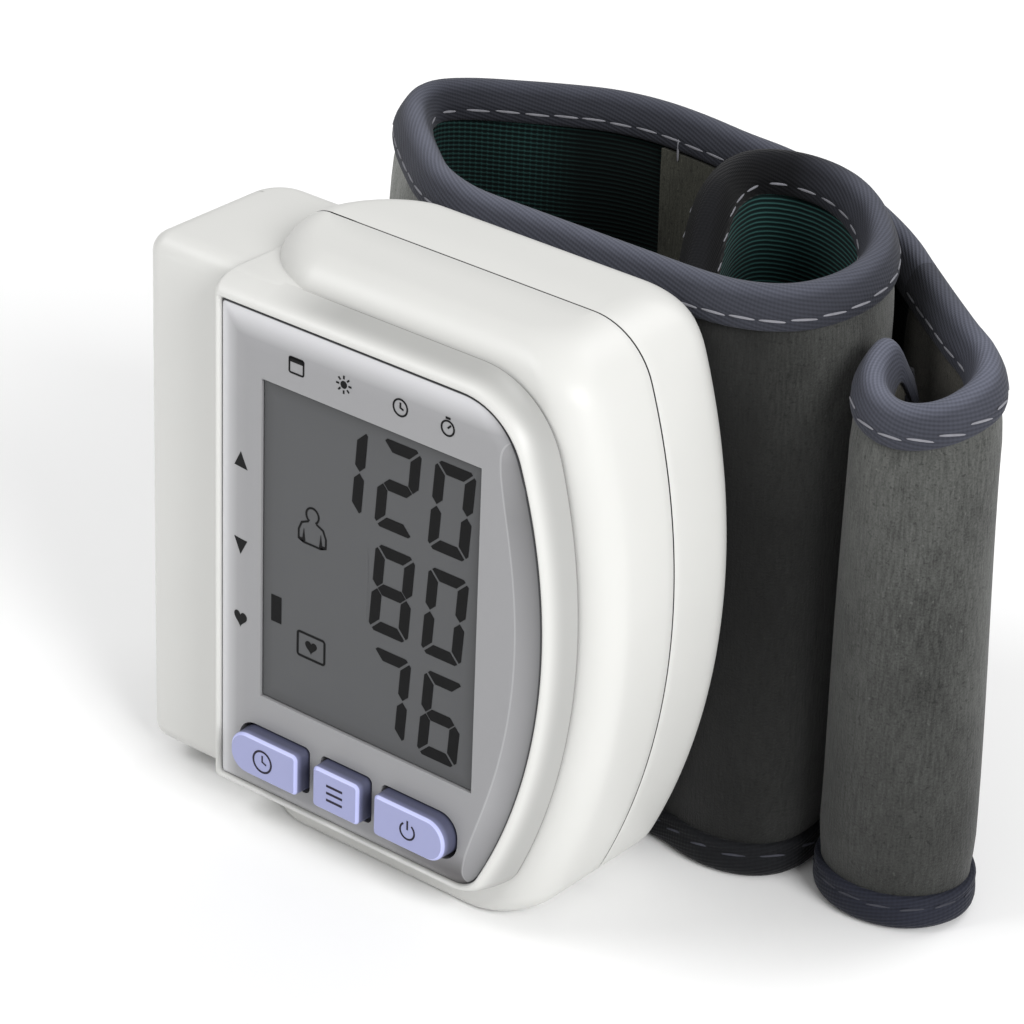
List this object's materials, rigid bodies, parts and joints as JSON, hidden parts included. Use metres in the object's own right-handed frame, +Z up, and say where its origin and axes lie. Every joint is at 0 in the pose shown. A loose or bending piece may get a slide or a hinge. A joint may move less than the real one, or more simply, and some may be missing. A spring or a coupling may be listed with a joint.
{
  "type": "wrist blood pressure monitor",
  "caption": "Boxy digital wrist blood pressure monitor with a display, press keys, a battery block on its side and a rolled fabric cuff behind it.",
  "frame": {"origin": "Middle of the bounding box, on the plane that the case and the cuff stand on", "axes": "+X towards the tail of the cuff, the viewer's right when facing the display; +Y from the display to the cuff; +Z up"},
  "size_m": [0.0906, 0.067, 0.0695],
  "materials": {
    "white_plastic": "satin moulded",
    "grey_panel": "satin painted, soft gradient",
    "display_lens": "polished",
    "lcd_glass": "polished",
    "cream_plastic": "moulded",
    "black_rubber": "moulded",
    "black_plastic": "moulded",
    "lilac_keys": "satin moulded",
    "circuit_board": "solder mask",
    "steel": "plated",
    "brass": "plated",
    "silicone": "translucent",
    "cell_jacket": "printed sleeve",
    "pile_fabric": "brushed loop pile",
    "binding_tape": "twill tape",
    "lining_fabric": "ribbed knit",
    "hook_fabric": "short pile"
  },
  "bodies": {
    "case_and_cuff": {"front_frame": "white_plastic", "front_shell": "white_plastic", "rear_shell": "white_plastic", "front_panel": "grey_panel", "display_lens": "display_lens", "lcd_glass": "lcd_glass", "lcd_holder": "cream_plastic", "zebra_strip": "black_rubber", "time_switch": "black_plastic", "memory_switch": "black_plastic", "power_switch": "black_plastic", "main_board": "circuit_board", "microcontroller": "black_plastic", "pressure_sensor": "cream_plastic", "buzzer": "black_plastic", "pump_motor": "steel", "pump_head": "cream_plastic", "release_valve": "steel", "air_manifold": "cream_plastic", "pump_tube": "silicone", "valve_tube": "silicone", "air_nipple": "silicone", "battery_cradle": "black_plastic", "battery_1": "cell_jacket", "battery_2": "cell_jacket", "contact_spring_1": "steel", "contact_spring_2": "steel", "contact_bridge": "brass", "contact_plus": "brass", "contact_minus": "brass", "case_screw_1": "steel", "case_screw_2": "steel", "case_screw_3": "steel", "case_screw_4": "steel", "cuff_outer": "pile_fabric", "cuff_plate": "black_plastic", "air_bladder": "silicone", "cuff_lining": "lining_fabric", "cuff_binding_top": "binding_tape", "cuff_binding_bottom": "binding_tape"},
    "time_key": {"time_button": "lilac_keys"},
    "memory_key": {"memory_button": "lilac_keys"},
    "power_key": {"power_button": "lilac_keys"},
    "battery_lid": {"battery_door": "white_plastic"},
    "cuff_tail": {"tail_outer": "pile_fabric", "tail_lining": "hook_fabric", "hook_patch": "hook_fabric", "tail_binding_top": "binding_tape", "tail_binding_bottom": "binding_tape"}
  },
  "joints": [
    {"name": "time_press", "type": "slide", "parent": "case_and_cuff", "child": "time_key", "axis": [0, 1, 0], "range_m": [0, 0.0006], "stiffness_N_per_m": 300},
    {"name": "memory_press", "type": "slide", "parent": "case_and_cuff", "child": "memory_key", "axis": [0, 1, 0], "range_m": [0, 0.0006], "stiffness_N_per_m": 300},
    {"name": "power_press", "type": "slide", "parent": "case_and_cuff", "child": "power_key", "axis": [0, 1, 0], "range_m": [0, 0.0006], "stiffness_N_per_m": 300},
    {"name": "battery_door_pull", "type": "slide", "parent": "case_and_cuff", "child": "battery_lid", "axis": [-1, 0, 0], "range_m": [0, 0.025]},
    {"name": "tail_swing", "type": "hinge", "parent": "case_and_cuff", "child": "cuff_tail", "pos_m": [0.02555, 0.02284, 0.03], "axis": [0, 0, 1], "range_deg": [0, 45]}
  ]
}
